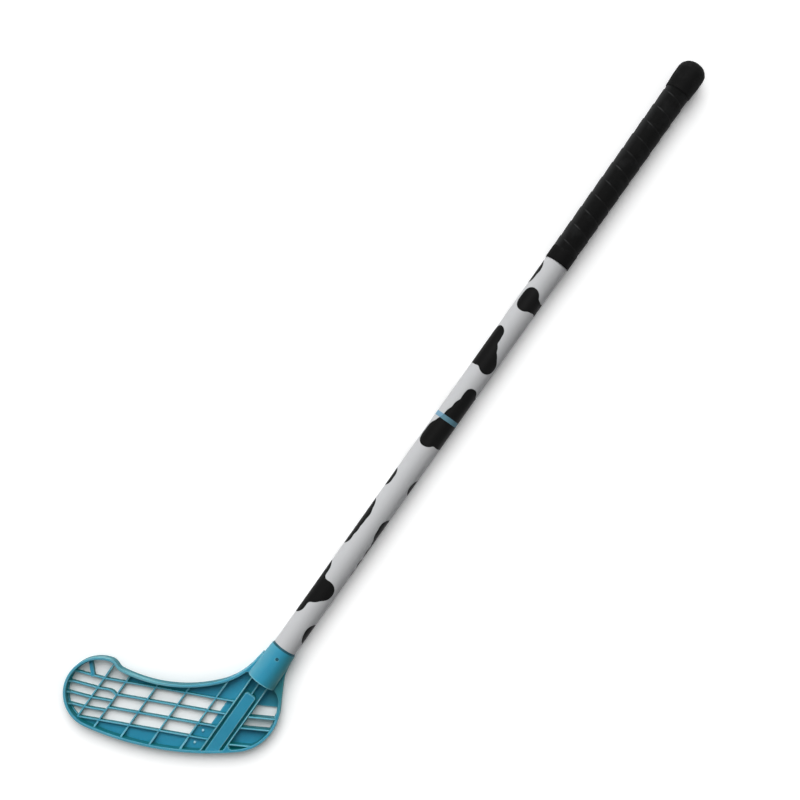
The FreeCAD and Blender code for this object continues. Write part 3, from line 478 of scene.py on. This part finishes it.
# Section of the band: share of the width from its thin edge, and millimetres off the film
BAND_SECTION = [(0.0, 0.0), (0.0, 0.10), (0.015, 0.20), (0.05, 0.32), (0.2, 0.52), (0.4, 0.70), (0.6, 0.84),
                (0.8, 0.94), (0.92, 0.99), (0.96, 0.98), (0.985, 0.91), (1.0, 0.74), (0.997, 0.5),
                (0.975, 0.36), (0.93, 0.32), (0.89, 0.0)]


def band_row(turn):
    """Points of the band's section after some turns, cut off at the grip's two ends."""
    angle = BAND_START - 2 * math.pi * turn - math.pi / 2
    lower = wrap_low.x + BAND_PITCH * (turn - 1)
    stretch = LIP_WAVER * (math.sin(14.3 * turn) + math.sin(23.7 * turn + 1))
    width = BAND_PITCH + BAND_OVERHANG + stretch
    points = []
    for share, height in BAND_SECTION:
        along = min(max(lower + share * width, wrap_low.x), wrap_high.x + BAND_AT_CAP)
        limit = UNDER_TAPE if along < tape_high.x + BAND_OVERHANG else height
        points.append(on_shaft(along, BAND_INNER + min(height, limit) * MILLIMETRE, angle))
    return points


grip_length = wrap_high.x - wrap_low.x
first_turn = BAND_TIP / BAND_PITCH
last_turn = 1 + (grip_length - BAND_TIP) / BAND_PITCH
steps = math.ceil((last_turn - first_turn) * STEPS_PER_TURN)
band_rows = [band_row(first_turn + (last_turn - first_turn) * step / steps) for step in range(steps + 1)]
grip = lay_grid("grip_band", band_rows, closed_along=False)
soft_shade(grip, 50)

grip_finish, tree, shader = new_finish("grip_band")
foam = use_group(tree, grain, Cells=1400.0, Mottle_Cells=60.0)
place = put(tree, "ShaderNodeTexCoord").outputs["Object"]
pores = put(tree, "ShaderNodeTexVoronoi", {"Vector": place, "Scale": PORE_CELLS})
pitted = reckon(tree, "ADD", reckon(tree, "MULTIPLY", pores.outputs["Distance"], 0.6), foam["Height"])

# How near a place is to the thick edge of its turn, as a share of the pitch
parts = put(tree, "ShaderNodeSeparateXYZ", {"Vector": place}).outputs
turned = reckon(tree, "ARCTAN2", reckon(tree, "SUBTRACT", AXIS_Y, parts["Y"]),
                reckon(tree, "SUBTRACT", parts["Z"], AXIS_Z))
along_turns = reckon(tree, "DIVIDE", reckon(tree, "SUBTRACT", parts["X"], wrap_low.x), BAND_PITCH)
turns = reckon(tree, "ADD", along_turns, reckon(tree, "DIVIDE", turned, 2 * math.pi))
lip_place = 1 + BAND_OVERHANG / BAND_PITCH / 2
lip_shift = 0.75 - BAND_START / (2 * math.pi) + 3 - lip_place
from_lip = reckon(tree, "FRACT", reckon(tree, "ADD", turns, lip_shift))
from_lip = reckon(tree, "ABSOLUTE", reckon(tree, "SUBTRACT", from_lip, 0.5))
# The lips show rub and a painted highlight on the lit side only
lit_side_share = all_of(tree, spread(tree, turned, 0.0, 1.0, *RUB_AND_HIGHLIGHT_RISES), spread(tree, turned, 1.0, 0.0, *RUB_AND_HIGHLIGHT_FALLS))
lip_rub_and_highlight = all_of(tree, spread(tree, from_lip, 1.0, 0.0, *LIP_RUB_AND_HIGHLIGHT),
             spread(tree, foam["Mottle"], 0.35, 1.0, 0.35, 0.6),
             spread(tree, lit_side_share, 0.12, 0.75))
dust_and_painted_light = reckon(tree, "MAXIMUM", lip_rub_and_highlight, spread(tree, foam["Mottle"], 0.0, 0.25, 0.5, 0.75))
# The lit side of the band is painted lighter
dust_and_painted_light = reckon(tree, "MAXIMUM", dust_and_painted_light, spread(tree, turned, 0.7, 0.0, *LIT_SIDE_FALLS))
join(tree, blend_colours(tree, dust_and_painted_light, GRIP_BLACK, GRIP_WORN_AND_LIT), shader.inputs["Base Color"])
join(tree, spread(tree, foam["Mottle"], 0.62, 0.78, 0.3, 0.7), shader.inputs["Roughness"])
pitting = put(tree, "ShaderNodeBump", {"Height": pitted, "Distance": PORE_DEPTH, "Strength": 0.7})
join(tree, pitting.outputs["Normal"], shader.inputs["Normal"])
shader.inputs["Specular IOR Level"].default_value = 0.05
shader.inputs["Sheen Weight"].default_value = 0.06
dress(grip, grip_finish)
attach(grip, "root")
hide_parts("grip_wrap")


# Finish tape
# Black vinyl tape stuck over the lower end of the band, once round and a little over itself.
TAPE_RADIUS = (tape_high.y - tape_low.y) / 2
TAPE_WALL = 0.22 * MILLIMETRE
TAPE_TURNS = 1.12
TAPE_START = math.radians(150)
TAPE_LAP_START = 0.97
TAPE_LAP_RUN = 0.05
TAPE_SIDES = 140
TAPE_EDGE = 0.06 * MILLIMETRE
TAPE_RUFFLE = 0.12 * MILLIMETRE
TAPE_CREPE = 0.02 * MILLIMETRE
TAPE_BLACK = (0.005, 0.005, 0.005, 1.0)
TAPE_SCUFFED = (0.025, 0.025, 0.025, 1.0)
tape_rows = []
for side in range(TAPE_SIDES + 1):
    turn = TAPE_TURNS * side / TAPE_SIDES
    over = min(max((turn - TAPE_LAP_START) / TAPE_LAP_RUN, 0.0), 1.0)
    lift = TAPE_WALL * over * over * (3 - 2 * over)
    angle = TAPE_START + 2 * math.pi * turn
    ruffle = TAPE_RUFFLE * math.sin(7 * angle) * math.sin(3 * angle + 1)
    outer = TAPE_RADIUS - TAPE_WALL + lift
    inner = outer - TAPE_WALL * 0.9
    section = [(tape_low.x, inner), (tape_low.x - 0.02 * MILLIMETRE, outer - TAPE_EDGE),
               (tape_low.x + 0.1 * MILLIMETRE, outer),
               (tape_low.x + 4 * MILLIMETRE, outer + 0.03 * MILLIMETRE),
               (tape_high.x - 4 * MILLIMETRE, outer + 0.02 * MILLIMETRE),
               (tape_high.x - 0.1 * MILLIMETRE + ruffle, outer),
               (tape_high.x + ruffle, outer - TAPE_EDGE), (tape_high.x + ruffle, inner)]
    tape_rows.append([on_shaft(along, radius, angle) for along, radius in section])
tape = lay_grid("finish_tape", tape_rows, closed_along=False)
soft_shade(tape, 50)

# Edge wear: how far a surface stands on a corner, from its normal with the corners rounded off
wear, entry, way_out = new_group("edge_wear", {"Width": 0.001, "Amount": 1.0, "Patches": 120.0},
                                 ["Worn"])
soft = put(wear, "ShaderNodeBevel", {"Radius": entry.outputs["Width"]}, samples=6)
true = put(wear, "ShaderNodeNewGeometry").outputs["Normal"]
agree = put(wear, "ShaderNodeVectorMath", {0: soft.outputs["Normal"], 1: true}, operation="DOT_PRODUCT")
corner = spread(wear, agree.outputs["Value"], 1.0, 0.0, 0.75, 0.99)
place = put(wear, "ShaderNodeTexCoord").outputs["Object"]
patches = put(wear, "ShaderNodeTexNoise", {"Vector": place, "Scale": entry.outputs["Patches"],
                                           "Detail": 4.0})
uneven = spread(wear, patches.outputs["Fac"], 0.35, 1.0, 0.35, 0.65)
join(wear, all_of(wear, corner, uneven, entry.outputs["Amount"]), way_out.inputs["Worn"])

tape_finish, tree, shader = new_finish("finish_tape")
vinyl = use_group(tree, grain, Cells=900.0, Mottle_Cells=120.0)
scuffs_and_painted_light = use_group(tree, wear, Width=0.0004, Amount=0.8, Patches=300.0)
join(tree, blend_colours(tree, scuffs_and_painted_light["Worn"], TAPE_BLACK, TAPE_SCUFFED), shader.inputs["Base Color"])
join(tree, spread(tree, vinyl["Mottle"], 0.6, 0.75, 0.3, 0.7), shader.inputs["Roughness"])
crepe = put(tree, "ShaderNodeBump", {"Height": vinyl["Height"], "Distance": TAPE_CREPE, "Strength": 0.5})
join(tree, crepe.outputs["Normal"], shader.inputs["Normal"])
shader.inputs["Specular IOR Level"].default_value = 0.05
dress(tape, tape_finish)
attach(tape, "root")
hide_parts("grip_finish_tape")


# Butt cap
# A moulded rubber cap pushed over the end of the shaft. It flares to its full width and ends in a round face.
cap_low, cap_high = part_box("butt_cap")
CAP_RADIUS = (cap_high.y - cap_low.y) / 2
CAP_MOUTH_RADIUS = 14.65 * MILLIMETRE
CAP_BORE = FILM_RADIUS + 0.05 * MILLIMETRE
CAP_FLARE = 16.0 * MILLIMETRE
CAP_ROUND = 12.5 * MILLIMETRE
CAP_LIP = 0.8 * MILLIMETRE
CAP_END_WALL = 7.0 * MILLIMETRE
CAP_POLE = 0.3 * MILLIMETRE
CAP_SIDES = 128
LIP_STEPS = 5
FLARE_STEPS = 12
ROUND_STEPS = 16
CAP_SKIN = 0.05 * MILLIMETRE
CAP_BLACK = (0.005, 0.005, 0.005, 1.0)
CAP_RUBBED = (0.025, 0.025, 0.025, 1.0)
cap_profile = [(cap_high.x - CAP_END_WALL, CAP_POLE), (cap_high.x - CAP_END_WALL, CAP_BORE),
               (cap_low.x, CAP_BORE), (cap_low.x, CAP_MOUTH_RADIUS - CAP_LIP)]
for step in range(1, LIP_STEPS + 1):
    bend = math.pi / 2 * step / LIP_STEPS
    cap_profile.append((cap_low.x + CAP_LIP * (1 - math.cos(bend)),
                        CAP_MOUTH_RADIUS - CAP_LIP * (1 - math.sin(bend))))
for step in range(1, FLARE_STEPS + 1):
    share = step / FLARE_STEPS
    eased = share * share * (3 - 2 * share)
    cap_profile.append((cap_low.x + CAP_LIP + (CAP_FLARE - CAP_LIP) * share,
                        CAP_MOUTH_RADIUS + (CAP_RADIUS - CAP_MOUTH_RADIUS) * eased))
cap_profile.append((cap_high.x - CAP_ROUND, CAP_RADIUS))
for step in range(1, ROUND_STEPS + 1):
    bend = math.pi / 2 * step / ROUND_STEPS
    cap_profile.append((cap_high.x - CAP_ROUND * (1 - math.sin(bend)),
                        CAP_RADIUS - CAP_ROUND * (1 - math.cos(bend))))
cap_profile.append((cap_high.x, CAP_POLE))
cap_rows = [[on_shaft(along, radius, 2 * math.pi * side / CAP_SIDES) for side in range(CAP_SIDES)]
            for along, radius in cap_profile]
cap = lay_grid("butt_cap_rubber", cap_rows)
soft_shade(cap, 50)

cap_finish, tree, shader = new_finish("cap_rubber")
rubber = use_group(tree, grain, Cells=1100.0, Mottle_Cells=70.0)
worn_cap = use_group(tree, wear, Width=0.001, Amount=0.7, Patches=160.0)
bloom = reckon(tree, "MAXIMUM", worn_cap["Worn"], spread(tree, rubber["Mottle"], 0.0, 0.6, 0.5, 0.75))
join(tree, blend_colours(tree, bloom, CAP_BLACK, CAP_RUBBED), shader.inputs["Base Color"])
join(tree, spread(tree, rubber["Mottle"], 0.6, 0.75, 0.3, 0.7), shader.inputs["Roughness"])
skin = put(tree, "ShaderNodeBump", {"Height": rubber["Height"], "Distance": CAP_SKIN, "Strength": 0.6})
join(tree, skin.outputs["Normal"], shader.inputs["Normal"])
shader.inputs["Specular IOR Level"].default_value = 0.06
dress(cap, cap_finish)
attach(cap, "root")
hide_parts("butt_cap")


# Floor, light and camera
# A white sheet on a table, broad daylight from the butt and the tip's side, and a camera straight overhead.
# The sheet's glow is dimmed near the pieces as painted contact shade, more deeply under the blade on the
# outer side of a slanting line along its inner curve.
FLOOR_WHITE = (0.9, 0.9, 0.9, 1.0)
FLOOR_SIZE = 8.0
FLOOR_DROP = 0.4 * MILLIMETRE
FLOOR_GLOW = 0.4
CONTACT_REACH = 24.0 * MILLIMETRE
BLADE_SHADE_DEPTH = 2.0
SHADE_SLANT = 0.82
shade_edge = mouth_x + SHADE_SLANT * AXIS_Y - 12.6 * MILLIMETRE
SHADE_ENDS = (shade_edge - 0.010, shade_edge + 0.002)
SUN_ANGLE = math.radians(48)
SUN_ENERGY = 2.6
SUN_PLACE = (1.65, 1.09, 2.23)
ROOM_WHITE = (0.97, 0.985, 1.0, 1.0)
ROOM_DIM = 0.02
ROOM_BRIGHT = 0.66
CAMERA_LENS = 60.0
CAMERA_SENSOR = 36.0
CAMERA_PLACE = (0.00291, -0.01329, 1.4153)
CAMERA_TURN = math.radians(-54.72)
bpy.ops.mesh.primitive_plane_add(size=FLOOR_SIZE, location=(0.0, 0.0, -FLOOR_DROP))
floor = bpy.context.object
floor.name = "floor"
floor_finish = bpy.data.materials.new("floor_white")
floor_finish.use_nodes = True
tree = floor_finish.node_tree
tree.nodes.clear()
seen = put(tree, "ShaderNodeLightPath").outputs
shown = reckon(tree, "MAXIMUM", seen["Is Camera Ray"],
               reckon(tree, "MAXIMUM", seen["Is Glossy Ray"], seen["Is Transmission Ray"]))
sheet_cloth = put(tree, "ShaderNodeBsdfDiffuse", {"Color": FLOOR_WHITE})
spot = put(tree, "ShaderNodeNewGeometry").outputs
stand = put(tree, "ShaderNodeSeparateXYZ", {"Vector": spot["Position"]}).outputs
slanted = reckon(tree, "MULTIPLY_ADD", stand["Y"], SHADE_SLANT, stand["X"])
depth = spread(tree, slanted, BLADE_SHADE_DEPTH, 1.0, *SHADE_ENDS)
# Painted contact shade: the glow fades where the pieces close in the sheet, more under the blade
bare = put(tree, "ShaderNodeAmbientOcclusion", {"Distance": CONTACT_REACH}, samples=4).outputs["AO"]
bare = reckon(tree, "POWER", bare, depth)
glow = put(tree, "ShaderNodeEmission", {"Color": (1.0, 1.0, 1.0, 1.0),
                                        "Strength": all_of(tree, shown, bare, FLOOR_GLOW)})
both = put(tree, "ShaderNodeAddShader", {0: sheet_cloth.outputs["BSDF"], 1: glow.outputs["Emission"]})
put(tree, "ShaderNodeOutputMaterial", {"Surface": both.outputs["Shader"]})
dress(floor, floor_finish)

lamp_data = bpy.data.lights.new("window_light", "SUN")
lamp_data.angle = SUN_ANGLE
lamp_data.energy = SUN_ENERGY
lamp = bpy.data.objects.new("window_light", lamp_data)
bpy.context.scene.collection.objects.link(lamp)
lamp.location = SUN_PLACE
aim = Vector((0.0, 0.0, 0.0)) - lamp.location
lamp.rotation_euler = aim.to_track_quat("-Z", "Y").to_euler()

world = bpy.data.worlds.new("room")
bpy.context.scene.world = world
world.use_nodes = True
tree = world.node_tree
tree.nodes.clear()
ray = put(tree, "ShaderNodeSeparateXYZ", {"Vector": put(tree, "ShaderNodeTexCoord").outputs["Generated"]})
seen = put(tree, "ShaderNodeLightPath").outputs
room_light = spread(tree, ray.outputs["Y"], ROOM_DIM, ROOM_BRIGHT, -0.1, 1.0)
for kind in ("Is Camera Ray", "Is Glossy Ray", "Is Transmission Ray"):
    room_light = reckon(tree, "MAXIMUM", room_light, seen[kind])
room = put(tree, "ShaderNodeBackground", {"Color": ROOM_WHITE, "Strength": room_light})
put(tree, "ShaderNodeOutputWorld", {"Surface": room.outputs["Background"]})

camera_data = bpy.data.cameras.new("overhead_camera")
camera_data.lens = CAMERA_LENS
camera_data.sensor_width = CAMERA_SENSOR
camera = bpy.data.objects.new("overhead_camera", camera_data)
bpy.context.scene.collection.objects.link(camera)
camera.location = CAMERA_PLACE
camera.rotation_euler = (0.0, 0.0, CAMERA_TURN)
bpy.context.scene.camera = camera
bpy.context.scene.view_settings.view_transform = "Standard"
